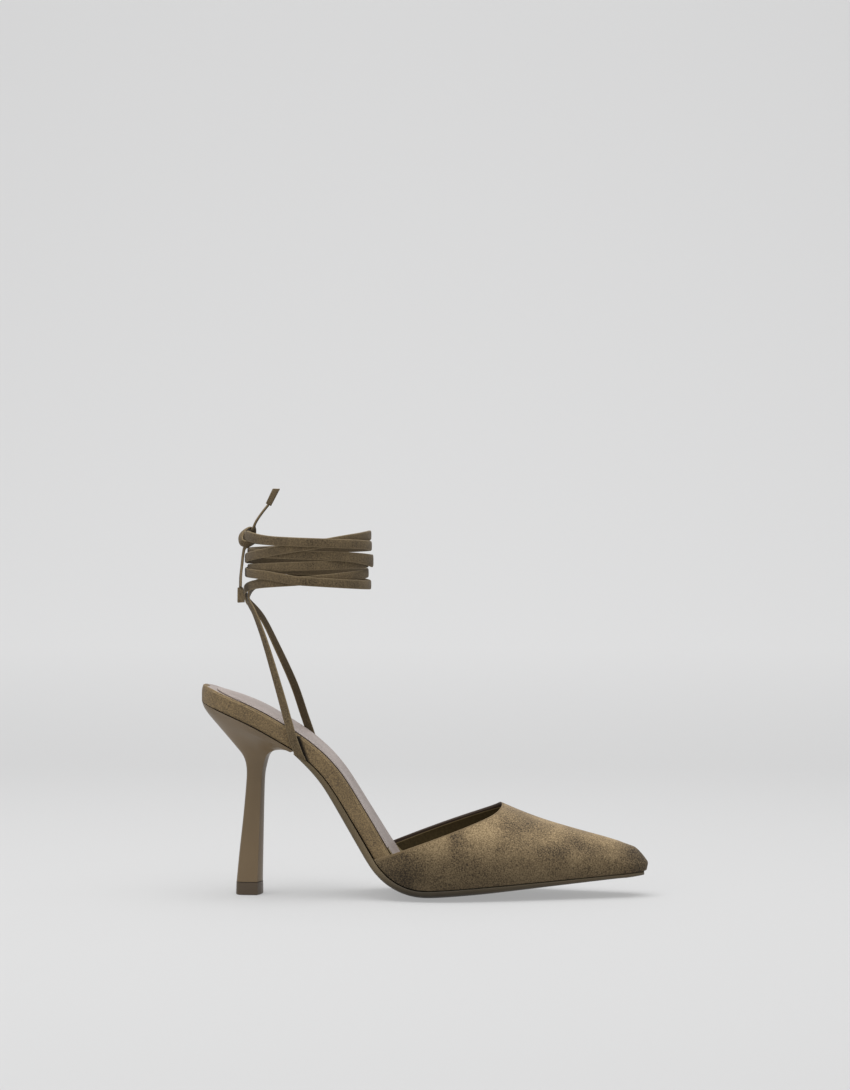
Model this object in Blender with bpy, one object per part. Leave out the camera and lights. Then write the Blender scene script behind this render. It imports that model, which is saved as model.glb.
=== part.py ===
"""Pointed pump with an open back and waist, a slim high heel and two ankle ties: a right shoe.

X runs from heel to toe, -Y is the outer (lateral) side, +Y the inner (medial) side, +Z is up and
the floor is Z = 0. Sizes are in millimetres, and MM turns them into Blender's metres. The line
where the upper meets the sole is the feather line. "Along" is a distance measured along that line
from the back of the heel, and "lift" is a distance square to it, upwards.
"""

import math
from bisect import bisect_right
from collections import namedtuple

import bmesh
import bpy
from mathutils import Vector

MM = 0.001
GAP = 0.3
SMOOTH_ANGLE = 35

Knee = namedtuple("Knee", "x z radius")
Outline = namedtuple("Outline", "x lateral medial")
Ridge = namedtuple("Ridge", "x y z")
Thickness = namedtuple("Thickness", "x footbed outsole padding")
HeelSection = namedtuple("HeelSection", "back_z back_x front_z front_x half_width boxiness breast")
TopPiece = namedtuple("TopPiece", "z grow")
Upright = namedtuple("Upright", "x y z facing")
Wrap = namedtuple("Wrap", "turn height layer")

# The last, seen from the side: straight runs of the feather line joined by round knees
SOLE_LINE = (
    Knee(-112.0, 96.8, 0),
    Knee(-86.0, 86.2, 150),
    Knee(-52.5, 66.7, 66),
    Knee(-14.7, 4.2, 29),
    Knee(108.2, 12.5, 0),
)
LINE_STEP = 0.25

# The last, seen from above: half widths of its bottom, without the round ends
OUTLINE = (
    Outline(-112.0, 23.0, 23.0),
    Outline(-90.0, 24.2, 24.0),
    Outline(-72.0, 23.8, 23.0),
    Outline(-56.0, 22.2, 20.6),
    Outline(-42.0, 21.0, 18.6),
    Outline(-30.0, 23.0, 20.2),
    Outline(-16.0, 29.2, 27.0),
    Outline(-2.0, 33.6, 32.4),
    Outline(10.0, 34.6, 34.6),
    Outline(24.0, 33.2, 34.4),
    Outline(40.0, 29.2, 31.0),
    Outline(60.0, 23.0, 24.6),
    Outline(80.0, 16.4, 17.6),
    Outline(96.0, 11.2, 12.2),
    Outline(110.0, 7.0, 7.8),
)
HEEL_ROUND = 24.0
TOE_ROUND = 9.0
BOTTOM_CROWN = 220.0
HEEL_BACK_REACH = 45.0

# The last, seen from the side: its ridge, which behind the throat is only construction
RIDGE = (
    Ridge(-40.0, 4.0, 90.0),
    Ridge(0.0, 4.0, 62.5),
    Ridge(20.0, 4.0, 53.8),
    Ridge(39.0, 3.6, 45.5),
    Ridge(48.0, 3.2, 41.7),
    Ridge(60.0, 2.7, 37.4),
    Ridge(76.0, 2.0, 32.8),
    Ridge(92.0, 1.4, 28.5),
    Ridge(103.0, 1.0, 25.0),
    Ridge(112.0, 0.8, 21.5),
)
SECTION_FULLNESS = 2.35
NOSE_START_X = 83.0
NOSE_SHARE = 0.75
FEATHER_BULGE = 1.0
SLOPE_STEP = 1.0

# The upper: a lined leather vamp with a low squarish throat
UPPER_WALL = 1.6
THROAT_X = 39.7
THROAT_SOFTNESS = 3.0
TOPLINE_START_X = -24.0
TOPLINE_START_Z = 19.9
TOPLINE_SLOPE = 0.367
MEDIAL_TOPLINE_RISE = 2.0
SEARCH_BEHIND = 16.0
SEARCH_AHEAD = 20.0
SEARCH_ROUNDS = 40
UPPER_LINES = 12
UPPER_STATIONS = 26

# The bottom: wrapped footbed, sock and outsole
THICKNESSES = (
    Thickness(-112.0, 8.5, 1.4, 2.4),
    Thickness(-86.0, 8.5, 1.4, 2.6),
    Thickness(-63.0, 8.0, 1.5, 0.1),
    Thickness(-58.0, 7.8, 2.3, 0.1),
    Thickness(-50.0, 7.8, 2.9, 0.1),
    Thickness(-42.0, 7.9, 3.3, 0.1),
    Thickness(-30.0, 8.1, 3.5, 0.1),
    Thickness(-12.0, 8.2, 3.2, 0.3),
    Thickness(26.0, 4.6, 3.0, 0.4),
    Thickness(60.0, 3.2, 2.5, 0.4),
    Thickness(112.0, 2.6, 1.6, 0.4),
)
EDGE_SHARE = 0.4
FOOTBED_HEEL_INSET = 0.25
FOOTBED_BACK_ROUND = 2.7
FOOTBED_LOW_EDGE = 0.3
FOOTBED_EDGE = 1.2
FOOTBED_TUCK = 0.9
SOCK_INSET = 1.6
SOCK_HEEL_INSET = 7.5
SOCK_TOE_X = 84.0
PADDING_RUN_IN = 24.0
SOCK_THICKNESS = 0.6
SOCK_LOW_EDGE = 0.15
SOCK_EDGE = 0.3
OUTSOLE_START_X = -63.2
OUTSOLE_BEVEL = 1.3
OUTSOLE_TOP_EDGE = 0.4
OUTSOLE_TOE_INSET = 0.8
VAMP_WELT = UPPER_WALL + GAP
VAMP_START_X = -44.0
VAMP_FULL_X = -22.0
ROUND_STATIONS = 6
PLAIN_STATION = 6.0

# The heel: sections that fan out from the neck to the seat, each from its back to its breast
HEEL_SECTIONS = (
    HeelSection(6.6, -94.3, 6.6, -81.3, 8.2, 5.0, 2.0),
    HeelSection(20.7, -93.0, 20.0, -81.1, 7.4, 5.0, 1.8),
    HeelSection(36.0, -91.3, 35.0, -80.8, 6.5, 5.0, 1.6),
    HeelSection(50.8, -89.9, 49.8, -80.5, 5.9, 5.0, 1.4),
    HeelSection(61.5, -89.2, 60.0, -80.1, 5.8, 4.6, 1.3),
    HeelSection(68.2, -90.4, 65.4, -79.0, 6.6, 4.2, 1.2),
    HeelSection(73.6, -94.4, 69.6, -77.9, 8.4, 3.8, 1.0),
    HeelSection(79.8, -99.6, 71.8, -75.6, 11.6, 3.5, 0.7),
    HeelSection(86.0, -104.8, 72.8, -72.8, 15.6, 3.3, 0.4),
    HeelSection(90.8, -108.8, 73.0, -69.4, 19.2, 3.2, 0.2),
    HeelSection(94.4, -111.2, 72.2, -65.6, 21.8, 3.1, 0.0),
)
HEEL_STEPS_A_SECTION = 2
HEEL_SIDE_POINTS = 9
HEEL_SHARES = [1 - math.cos(math.pi / 2 * i / HEEL_SIDE_POINTS) for i in range(HEEL_SIDE_POINTS + 1)]
HEEL_ACROSS = 7
SEAT_FRONT_X = -63.8
TOP_PIECE = (
    TopPiece(0.0, -0.35),
    TopPiece(0.45, 0.25),
    TopPiece(6.3, 0.1),
)

# The ties: flat laces from the sole seam up to the back of the ankle, then three turns round it
LACE_WIDTH = 4.5
UPRIGHT_WIDTH = 3.9
LACE_THICKNESS = 1.3
ANKLE_X = -58.6
ANKLE_RADIUS = 29.8
LAYER_STEP = 0.95
TURN_STEP = 12.0
UPRIGHT_STEPS = 4
LATERAL_UPRIGHT = (
    Upright(-61.2, -24.9, 69.9, 90),
    Upright(-64.1, -25.2, 79.5, 90),
    Upright(-66.7, -24.8, 88.5, 82),
    Upright(-71.1, -21.6, 103.1, 66),
    Upright(-78.5, -17.2, 126.4, 44),
    Upright(-84.2, -12.8, 140.6, 26),
)
LATERAL_WRAP = (
    Wrap(14, 145.8, 0),
    Wrap(0, 150.0, 0),
    Wrap(-25, 154.0, 0),
    Wrap(-90, 157.0, 0.3),
    Wrap(-180, 155.1, 1),
    Wrap(-270, 157.6, 1),
    Wrap(-360, 159.6, 1),
    Wrap(-450, 164.0, 1),
    Wrap(-540, 168.6, 1),
    Wrap(-595, 169.2, 1),
    Wrap(-622, 169.5, 0),
    Wrap(-720, 171.1, 0),
    Wrap(-810, 172.6, 0.5),
    Wrap(-900, 174.1, 1.3),
    Wrap(-920, 174.6, 2),
    Wrap(-1015, 176.6, 2),
    Wrap(-1058, 178.0, 1.4),
)
MEDIAL_UPRIGHT = (
    Upright(-56.0, 22.7, 67.2, -90),
    Upright(-58.9, 23.5, 77.9, -90),
    Upright(-62.5, 23.0, 88.6, -82),
    Upright(-67.5, 20.4, 104.0, -64),
    Upright(-75.5, 16.8, 122.5, -44),
    Upright(-82.8, 13.0, 137.8, -28),
)
MEDIAL_WRAP = (
    Wrap(-14, 146.4, 1.7),
    Wrap(4, 152.0, 1.5),
    Wrap(25, 155.0, 0),
    Wrap(90, 158.2, 0),
    Wrap(180, 160.6, 0),
    Wrap(270, 161.6, 0),
    Wrap(360, 162.6, 0),
    Wrap(450, 164.2, 0),
    Wrap(540, 165.6, 0),
    Wrap(630, 166.6, 0),
    Wrap(664, 166.9, 0),
    Wrap(684, 167.2, 1),
    Wrap(720, 167.8, 1),
    Wrap(810, 173.8, 1),
    Wrap(900, 179.6, 1),
    Wrap(990, 175.6, 1),
    Wrap(1058, 177.5, 1),
)

# The knot at the back of the ankle and the two free ends, each with a crimped tip
KNOT_LATERAL_ROUTE = (
    (-87.7, -11.0, 178.1),
    (-90.2, -6.0, 178.5),
    (-91.6, -0.6, 177.8),
    (-91.0, 3.6, 176.6),
    (-88.6, 3.8, 176.8),
    (-86.9, 0.6, 178.0),
    (-86.4, -1.6, 179.8),
    (-86.3, -2.3, 181.6),
)
KNOT_MEDIAL_ROUTE = (
    (-87.3, 10.8, 177.5),
    (-88.9, 5.4, 178.2),
    (-89.5, 0.2, 177.2),
    (-90.4, -3.6, 174.6),
    (-91.6, -4.8, 171.6),
    (-91.9, -5.0, 169.4),
)
RISING_END_ROUTE = (
    (-85.9, -2.4, 182.7),
    (-84.2, -2.3, 186.6),
    (-81.6, -2.1, 190.6),
    (-78.4, -1.8, 194.7),
)
HANGING_END_ROUTE = (
    (-91.9, -5.0, 169.0),
    (-92.2, -4.8, 161.0),
    (-92.3, -4.6, 153.4),
)
RISING_TIP = (-74.4, -1.4, 202.6)
HANGING_TIP = (-92.1, -4.4, 146.1)
RISING_FACING = 0
HANGING_FACING = 18
TIP_WIDTH = 3.0
TIP_THICKNESS = 2.0
ROUTE_STEPS = 4


def smooth(rows, field, at):
    """The value of one column at a place along the first column, by a cubic that never overshoots."""
    ordered = rows if rows[0][0] < rows[-1][0] else rows[::-1]
    keys = [row[0] for row in ordered]
    values = [getattr(row, field) for row in ordered]
    slopes = [(b - a) / (q - p) for a, b, p, q in zip(values, values[1:], keys, keys[1:])]
    bends = [slopes[0]]
    for before, after in zip(slopes, slopes[1:]):
        level = before * after <= 0
        bends.append(0.0 if level else 2 * before * after / (before + after))
    bends.append(slopes[-1])
    i = min(max(bisect_right(keys, at) - 1, 0), len(slopes) - 1)
    span = keys[i + 1] - keys[i]
    t = (at - keys[i]) / span
    if not 0 <= t <= 1:
        end = 0 if t < 0 else -1
        return values[end] + bends[end] * (at - keys[end])
    rise = values[i + 1] - values[i]
    start_bend = bends[i] * span
    end_bend = bends[i + 1] * span
    cube = start_bend + end_bend - 2 * rise
    square = 3 * rise - 2 * start_bend - end_bend
    return values[i] + t * (start_bend + t * (square + t * cube))


def rounded_line(knees):
    """Points in the side view along straight runs, with an arc at each knee."""
    points = [Vector((knees[0].x, knees[0].z))]
    for before, knee, after in zip(knees, knees[1:], knees[2:]):
        corner = Vector((knee.x, knee.z))
        back = (Vector((before.x, before.z)) - corner).normalized()
        ahead = (Vector((after.x, after.z)) - corner).normalized()
        half = back.angle(ahead) / 2
        centre = corner + (back + ahead).normalized() * knee.radius / math.sin(half)
        start = corner + back * knee.radius / math.tan(half) - centre
        end = corner + ahead * knee.radius / math.tan(half) - centre
        sweep = start.angle(end)
        count = math.ceil(sweep * knee.radius / LINE_STEP)
        for i in range(count + 1):
            t = i / count
            mixed = start * math.sin((1 - t) * sweep) + end * math.sin(t * sweep)
            points.append(centre + mixed / math.sin(sweep))
    points.append(Vector((knees[-1].x, knees[-1].z)))
    return points


SOLE_POINTS = rounded_line(SOLE_LINE)
SOLE_ALONG = [0.0]
for first, second in zip(SOLE_POINTS, SOLE_POINTS[1:]):
    SOLE_ALONG.append(SOLE_ALONG[-1] + (second - first).length)
SOLE_LENGTH = SOLE_ALONG[-1]


def sole_at(along):
    """The feather line's point and its upward direction, in 3-D at Y = 0. That is square to the
    line, but turns upright towards the back of the heel."""
    i = min(max(bisect_right(SOLE_ALONG, along) - 1, 0), len(SOLE_POINTS) - 2)
    step = SOLE_POINTS[i + 1] - SOLE_POINTS[i]
    step.normalize()
    point = SOLE_POINTS[i] + step * (along - SOLE_ALONG[i])
    square = Vector((-step.y, 0, step.x))
    upright = max(0.0, 1 - along / HEEL_BACK_REACH) ** 2
    up = square.lerp(Vector((0, 0, 1)), upright)
    return Vector((point.x, 0, point.y)), up / up.dot(square)


def along_at(x):
    """The distance along the feather line at which it reaches x."""
    i = min(max(bisect_right(SOLE_POINTS, x, key=lambda p: p.x) - 1, 0), len(SOLE_POINTS) - 2)
    step = SOLE_POINTS[i + 1] - SOLE_POINTS[i]
    return SOLE_ALONG[i] + step.length * (x - SOLE_POINTS[i].x) / step.x


def round_end(distance, radius):
    """The share of its width that an outline has at a distance from a round end."""
    if distance >= radius:
        return 1.0
    return math.sqrt(max(0.0, 1 - (1 - distance / radius) ** 2))


def half_width(along, side, grow=0.0):
    """Half of the last's bottom, on one side, with its outline grown outwards all round."""
    point, _ = sole_at(along)
    plain = smooth(OUTLINE, side, point.x) + grow
    at_heel = round_end(along + grow, HEEL_ROUND + grow)
    at_toe = round_end(SOLE_LENGTH + grow - along, TOE_ROUND + grow)
    return plain * at_heel * at_toe


def on_bottom(along, y, lift):
    """A point over the last's bottom, which is crowned across."""
    point, up = sole_at(along)
    edge = (half_width(along, "lateral") + half_width(along, "medial")) / 2
    crown = min(0.0, y * y - edge * edge) / (2 * BOTTOM_CROWN)
    return point + up * (lift + crown) + Vector((0, y, 0))


def spread(start, end, count):
    return [start + (end - start) * i / (count - 1) for i in range(count)]


def stations(start, end, round_start, round_end_radius):
    """Distances from start to end, closer together where an end is round."""
    turn = [math.pi / 2 * i / ROUND_STATIONS for i in range(ROUND_STATIONS)]
    head = [start + round_start * (1 - math.cos(a)) for a in turn] if round_start else [start]
    tail = [end - round_end_radius * (1 - math.cos(a)) for a in turn] if round_end_radius else [end]
    inner_start = start + round_start
    inner_end = end - round_end_radius
    count = math.ceil((inner_end - inner_start) / PLAIN_STATION) + 1
    middle = spread(inner_start, inner_end, count)
    if not round_start:
        middle = middle[1:]
    if not round_end_radius:
        middle = middle[:-1]
    return head + middle + tail[::-1]


def plate_ring(along, left, right, low, high, low_edge, high_edge, across=5):
    """A section through a plate: its underside from lateral to medial, then its top and back."""
    low_edge = min(low_edge, EDGE_SHARE * left)
    high_edge = min(high_edge, EDGE_SHARE * left)
    under = spread(-left + low_edge, right - low_edge, across)
    over = spread(right - high_edge, -left + high_edge, across)
    ring = [on_bottom(along, y, low(y)) for y in under]
    ring.append(on_bottom(along, right, low(right) + low_edge))
    ring.append(on_bottom(along, right, high(right) - high_edge))
    ring += [on_bottom(along, y, high(y)) for y in over]
    ring.append(on_bottom(along, -left, high(left) - high_edge))
    ring.append(on_bottom(along, -left, low(left) + low_edge))
    return ring


def make_object(name, points, faces, collection):
    """A closed mesh object from points in millimetres and faces, with its faces turned outwards."""
    mesh = bpy.data.meshes.new(name)
    mesh.from_pydata([point * MM for point in points], [], faces)
    shape = bmesh.new()
    shape.from_mesh(mesh)
    bmesh.ops.recalc_face_normals(shape, faces=shape.faces)
    shape.to_mesh(mesh)
    shape.free()
    made = bpy.data.objects.new(name, mesh)
    collection.objects.link(made)
    return made


def ring_faces(rings):
    """The points of rings with equal numbers of points, and the faces between them."""
    around = len(rings[0])
    points = [point for ring in rings for point in ring]
    faces = []
    for near in range(0, len(points) - around, around):
        for i in range(around):
            nxt = (i + 1) % around
            faces.append((near + i, near + nxt, near + around + nxt, near + around + i))
    return points, faces


def loft(name, rings, collection):
    """A closed body through rings, capped at both ends."""
    points, faces = ring_faces(rings)
    around = len(rings[0])
    faces.append(tuple(range(around)))
    faces.append(tuple(range(len(points) - around, len(points))))
    return make_object(name, points, faces, collection)


def vamp_share(along):
    """0 where the footbed's edge shows behind the vamp, rising to 1 where the vamp covers it."""
    t = (sole_at(along)[0].x - VAMP_START_X) / (VAMP_FULL_X - VAMP_START_X)
    t = min(max(t, 0.0), 1.0)
    return t * t * (3 - 2 * t)


def make_footbed(collection):
    """The board with its foam and its wrapped edge, from the heel's back to the toe."""
    rings = []
    for along in stations(FOOTBED_HEEL_INSET, SOLE_LENGTH - FOOTBED_TUCK, HEEL_ROUND, TOE_ROUND):
        thick = smooth(THICKNESSES, "footbed", sole_at(along)[0].x)
        thick -= FOOTBED_BACK_ROUND * (1 - round_end(along, FOOTBED_BACK_ROUND))
        tuck = -FOOTBED_TUCK * vamp_share(along)
        left = half_width(along, "lateral", tuck)
        right = half_width(along, "medial", tuck)
        edges = (FOOTBED_LOW_EDGE, FOOTBED_EDGE)
        rings.append(plate_ring(along, left, right, lambda y: 0.0, lambda y: thick, *edges))
    return loft("footbed", rings, collection)


def make_sock(collection):
    """The thin sock on the footbed, thicker along its middle where it is padded."""
    rings = []
    for along in stations(SOCK_HEEL_INSET, along_at(SOCK_TOE_X), HEEL_ROUND, 0.0):
        base = smooth(THICKNESSES, "footbed", sole_at(along)[0].x) + GAP
        run_in = round_end(along - SOCK_HEEL_INSET, PADDING_RUN_IN)
        padding = smooth(THICKNESSES, "padding", sole_at(along)[0].x) * run_in
        behind = round_end(along - SOCK_HEEL_INSET + GAP, HEEL_ROUND) / round_end(along, HEEL_ROUND)
        left = (half_width(along, "lateral") - SOCK_INSET) * behind
        right = (half_width(along, "medial") - SOCK_INSET) * behind

        def top(y, base=base, left=left, padding=padding):
            return base + SOCK_THICKNESS + padding * max(0.0, 1 - (y / left) ** 2)

        edges = (SOCK_LOW_EDGE, SOCK_EDGE)
        rings.append(plate_ring(along, left, right, lambda y: base, top, *edges, across=7))
    return loft("insole_sock", rings, collection)


def make_outsole(collection):
    """The sole's own plate, with a flat tread on the floor under the ball."""
    rings = []
    toe = SOLE_LENGTH + VAMP_WELT - OUTSOLE_TOE_INSET
    for along in stations(along_at(OUTSOLE_START_X), toe, 0.0, TOE_ROUND):
        thick = smooth(THICKNESSES, "outsole", sole_at(along)[0].x)
        welt = VAMP_WELT * vamp_share(along)
        left = half_width(along, "lateral", welt)
        right = half_width(along, "medial", welt)
        edges = (OUTSOLE_BEVEL, OUTSOLE_TOP_EDGE)
        ring = plate_ring(along, left, right, lambda y: -GAP - thick, lambda y: -GAP, *edges, across=7)
        rings.append([Vector((p.x, p.y, max(p.z, 0.0))) for p in ring])
    return loft("outsole", rings, collection)


def ridge_x(outline_x, tip_x):
    """Where the section that starts at outline_x on the feather line meets the ridge."""
    if outline_x <= NOSE_START_X:
        return outline_x
    t = (outline_x - NOSE_START_X) / (tip_x - NOSE_START_X)
    return NOSE_START_X + NOSE_SHARE * (tip_x - NOSE_START_X) * (4 * t - t**4) / 3


def upper_point(climb, side, share, start, grow, drop):
    """A point of the vamp: climb is 0 at the feather line and a right angle at the ridge, and
    share runs from the topline, at the distance start, to the toe's nose line."""
    bulge = FEATHER_BULGE * math.sin(4 * climb) ** 2 if climb < math.pi / 4 else 0.0
    tip = SOLE_LENGTH + grow + bulge
    along = start + (tip - start) * share
    foot, _ = sole_at(along)
    foot.y = half_width(along, side, grow + bulge) * (-1 if side == "lateral" else 1)
    top_x = ridge_x(foot.x, sole_at(tip)[0].x)
    top = Vector((top_x, smooth(RIDGE, "y", top_x), smooth(RIDGE, "z", top_x) - drop))
    slope = (smooth(RIDGE, "z", top_x + SLOPE_STEP) - top.z - drop) / SLOPE_STEP
    outward = max(0.0, math.cos(climb)) ** (2 / SECTION_FULLNESS)
    upward = math.sin(climb) ** (2 / SECTION_FULLNESS)
    x = top.x + (foot.x - top.x) * outward
    y = top.y + (foot.y - top.y) * outward
    z = foot.z + (top.z + slope * (x - top.x) - foot.z) * upward
    return Vector((x, y, z))


def topline_start(climb, side):
    """Where the line at this climb starts: on the straight topline, or at the throat."""
    rise = MEDIAL_TOPLINE_RISE if side == "medial" else 0.0
    low = along_at(TOPLINE_START_X - SEARCH_BEHIND)
    high = along_at(THROAT_X + SEARCH_AHEAD)
    for _ in range(SEARCH_ROUNDS):
        middle = (low + high) / 2
        point = upper_point(climb, side, 0.0, middle, VAMP_WELT, 0.0)
        line = TOPLINE_START_Z + rise + TOPLINE_SLOPE * (point.x - TOPLINE_START_X)
        if point.z > line:
            low = middle
        else:
            high = middle
    behind = along_at(THROAT_X) - low
    softened = THROAT_SOFTNESS * math.log1p(math.exp(behind / THROAT_SOFTNESS))
    return along_at(THROAT_X) - softened


def make_upper(collection):
    """The vamp: an outer and an inner wall, open at the topline and underneath."""
    climbs = [math.pi / 2 * i / UPPER_LINES for i in range(UPPER_LINES + 1)]
    lines = [(climb, "lateral") for climb in climbs]
    lines += [(climb, "medial") for climb in climbs[-2::-1]]
    shares = [math.sin(math.pi / 2 * j / UPPER_STATIONS) for j in range(UPPER_STATIONS + 1)]
    points = []
    walls = []
    for grow, drop in ((VAMP_WELT, 0.0), (GAP, UPPER_WALL)):
        wall = []
        for number, (climb, side) in enumerate(lines):
            start = topline_start(climb, side)
            row = []
            for share in shares:
                opposite = len(lines) - 1 - number
                if share == 1.0 and number > opposite:
                    row.append(wall[opposite][-1])
                    continue
                row.append(len(points))
                points.append(upper_point(climb, side, share, start, grow, drop))
            wall.append(row)
        walls.append(wall)
    faces = []
    for wall in walls:
        for near, far in zip(wall, wall[1:]):
            for j in range(UPPER_STATIONS):
                face = (near[j], near[j + 1], far[j + 1], far[j])
                faces.append(tuple(dict.fromkeys(face)))
    outer, inner = walls
    for i in range(len(lines) - 1):
        faces.append((outer[i][0], outer[i + 1][0], inner[i + 1][0], inner[i][0]))
    for i in (0, -1):
        for j in range(UPPER_STATIONS):
            faces.append((outer[i][j], outer[i][j + 1], inner[i][j + 1], inner[i][j]))
    return make_object("upper", points, faces, collection)


def heel_section_rows(section):
    """Centre and half widths of a flat-breasted section, from its round back to its front."""
    back = Vector((section.back_x, 0, section.back_z))
    front = Vector((section.front_x - section.breast, 0, section.front_z))
    power = section.boxiness
    rows = []
    for share in HEEL_SHARES:
        wide = section.half_width * (1 - (1 - share) ** power) ** (1 / power)
        rows.append((back + (front - back) * share, wide, wide))
    return rows


def heel_seat_rows():
    """The same for the heel's rim, just under the footbed's edge."""
    end = along_at(SEAT_FRONT_X)
    rows = []
    for share in HEEL_SHARES:
        point, up = sole_at(end * share)
        left = half_width(end * share, "lateral")
        right = half_width(end * share, "medial")
        rows.append((point - up * GAP, left, right))
    return rows


def heel_ring(rows, breast_at):
    """A ring from the back along the lateral side, across the breast and back along the medial side."""
    lateral = [centre + Vector((0, -left, 0)) for centre, left, _ in rows]
    medial = [centre + Vector((0, right, 0)) for centre, _, right in rows[:0:-1]]
    _, left, right = rows[-1]
    breast = [breast_at(y) for y in spread(-left, right, HEEL_ACROSS)[1:-1]]
    return lateral + breast + medial


def plain_heel_ring(section):
    """A ring whose breast is crowned forwards between its two edges."""
    rows = heel_section_rows(section)

    def breast_at(y):
        forward = section.breast * (1 - (y / section.half_width) ** 2)
        return rows[-1][0] + Vector((forward, y, 0))

    return heel_ring(rows, breast_at)


def make_heel(collection):
    """The moulded heel: sections up to the seat, with a top that follows the footbed's crown."""
    heights = [HEEL_SECTIONS[0].back_z]
    for below, above in zip(HEEL_SECTIONS, HEEL_SECTIONS[1:]):
        heights += spread(below.back_z, above.back_z, HEEL_STEPS_A_SECTION + 1)[1:]
    rings = []
    for height in heights:
        fields = [smooth(HEEL_SECTIONS, field, height) for field in HeelSection._fields[1:]]
        rings.append(plain_heel_ring(HeelSection(height, *fields)))
    end = along_at(SEAT_FRONT_X)
    seat = heel_seat_rows()
    rings.append(heel_ring(seat, lambda y: on_bottom(end, y, -GAP)))
    points, faces = ring_faces(rings)
    around = len(rings[0])
    rim = len(points) - around
    before = [rim] * HEEL_ACROSS
    for i, (_, left, right) in enumerate(seat[1:], 1):
        front = i == len(seat) - 1
        row = [rim + i]
        for j, y in enumerate(spread(-left, right, HEEL_ACROSS)[1:-1], 1):
            row.append(rim + i + j if front else len(points))
            if not front:
                points.append(on_bottom(end * HEEL_SHARES[i], y, -GAP))
        row.append(rim + around - i)
        for j in range(HEEL_ACROSS - 1):
            faces.append(tuple(dict.fromkeys((before[j], before[j + 1], row[j + 1], row[j]))))
        before = row
    faces.append(tuple(range(around)))
    return make_object("heel", points, faces, collection)


def make_top_piece(collection):
    """The wearing piece under the heel, flat on the floor."""
    base = HEEL_SECTIONS[0]
    rings = []
    for row in TOP_PIECE:
        section = HeelSection(
            row.z, base.back_x - row.grow, row.z, base.front_x + row.grow,
            base.half_width + row.grow, base.boxiness, base.breast,
        )
        rings.append(plain_heel_ring(section))
    return loft("heel_top_piece", rings, collection)


def facing_vector(turn):
    """The direction away from the ankle's axis at a turn: 0 is backwards, 90 the lateral side."""
    angle = math.radians(turn)
    return Vector((-math.cos(angle), -math.sin(angle), 0))


def through(points, steps):
    """A smooth curve through points of any number of coordinates, with steps in each span."""
    ends = [2 * points[0] - points[1]] + points + [2 * points[-1] - points[-2]]
    curve = []
    for a, b, c, d in zip(ends, ends[1:], ends[2:], ends[3:]):
        for i in range(steps):
            t = i / steps
            pull = (c - a) * t + (2 * a - 5 * b + 4 * c - d) * t * t + (3 * b - a - 3 * c + d) * t**3
            curve.append(b + pull / 2)
    return curve + [points[-1]]


def tie_stops(upright, wrap):
    """Points, facings and widths of one tie, from the sole seam to where its knot starts."""
    count = math.ceil(abs(wrap[-1].turn - wrap[0].turn) / TURN_STEP) + 1
    wound = []
    for turn in spread(wrap[0].turn, wrap[-1].turn, count):
        radius = ANKLE_RADIUS + LAYER_STEP * smooth(wrap, "layer", turn)
        place = Vector((ANKLE_X, 0, smooth(wrap, "height", turn))) + radius * facing_vector(turn)
        wound.append(Vector((*place, turn, LACE_WIDTH)))
    rising = [Vector((row.x, row.y, row.z, row.facing, UPRIGHT_WIDTH)) for row in upright]
    curve = through(rising + wound[:2], UPRIGHT_STEPS)[: len(upright) * UPRIGHT_STEPS] + wound
    return [(Vector(stop[:3]), facing_vector(stop[3]), stop[4]) for stop in curve]


def route_stops(route, facing, width=LACE_WIDTH):
    """Points, facings and widths along a route, whose facing turns no more than the route makes it."""
    points = through([Vector(point) for point in route], ROUTE_STEPS)
    stops = []
    for i, point in enumerate(points):
        ahead = points[min(i + 1, len(points) - 1)] - points[max(i - 1, 0)]
        ahead.normalize()
        facing = (facing - ahead * facing.dot(ahead)).normalized()
        stops.append((point, facing, width))
    return stops


def ribbon(name, stops, thickness, collection):
    """A flat band along points, each with the direction that its outer face looks in and a width."""
    rings = []
    for i, (point, facing, width) in enumerate(stops):
        ahead = stops[min(i + 1, len(stops) - 1)][0] - stops[max(i - 1, 0)][0]
        across = ahead.cross(facing).normalized() * width / 2
        out = across.cross(ahead).normalized() * thickness / 2
        rings.append([point + across + out, point - across + out, point - across - out, point + across - out])
    return loft(name, rings, collection)


def fuse(piece, other):
    """Joins a helper to a piece where they cross."""
    other.hide_render = True
    other.display_type = "WIRE"
    union = piece.modifiers.new("Joined where they cross", "BOOLEAN")
    union.operation = "UNION"
    union.object = other
    return piece


def make_ankle_ties(collection, helpers):
    """Both ties with their three turns round the ankle, joined where they cross."""
    lateral = tie_stops(LATERAL_UPRIGHT, LATERAL_WRAP)
    medial = tie_stops(MEDIAL_UPRIGHT, MEDIAL_WRAP)
    ties = ribbon("ankle_ties", lateral, LACE_THICKNESS, collection)
    return fuse(ties, ribbon("medial_tie_helper", medial, LACE_THICKNESS, helpers))


def make_knot(collection, helpers):
    """The overhand knot: the lateral lace goes once round the medial one."""
    backwards = facing_vector(0)
    lateral = route_stops(KNOT_LATERAL_ROUTE, backwards)
    medial = route_stops(KNOT_MEDIAL_ROUTE, backwards)
    knot = ribbon("tie_knot", lateral, LACE_THICKNESS, collection)
    return fuse(knot, ribbon("knot_helper", medial, LACE_THICKNESS, helpers))


def make_end(name, route, facing, collection):
    return ribbon(name, route_stops(route, facing_vector(facing)), LACE_THICKNESS, collection)


def make_tip(name, route, tip, collection):
    """The crimped tip that goes on from the end of a route, flat to the side."""
    end = Vector(route[-1])
    start = end + (Vector(tip) - end).normalized() * GAP
    stops = route_stops((start, tip), facing_vector(90), TIP_WIDTH)
    return ribbon(name, stops, TIP_THICKNESS, collection)


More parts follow.
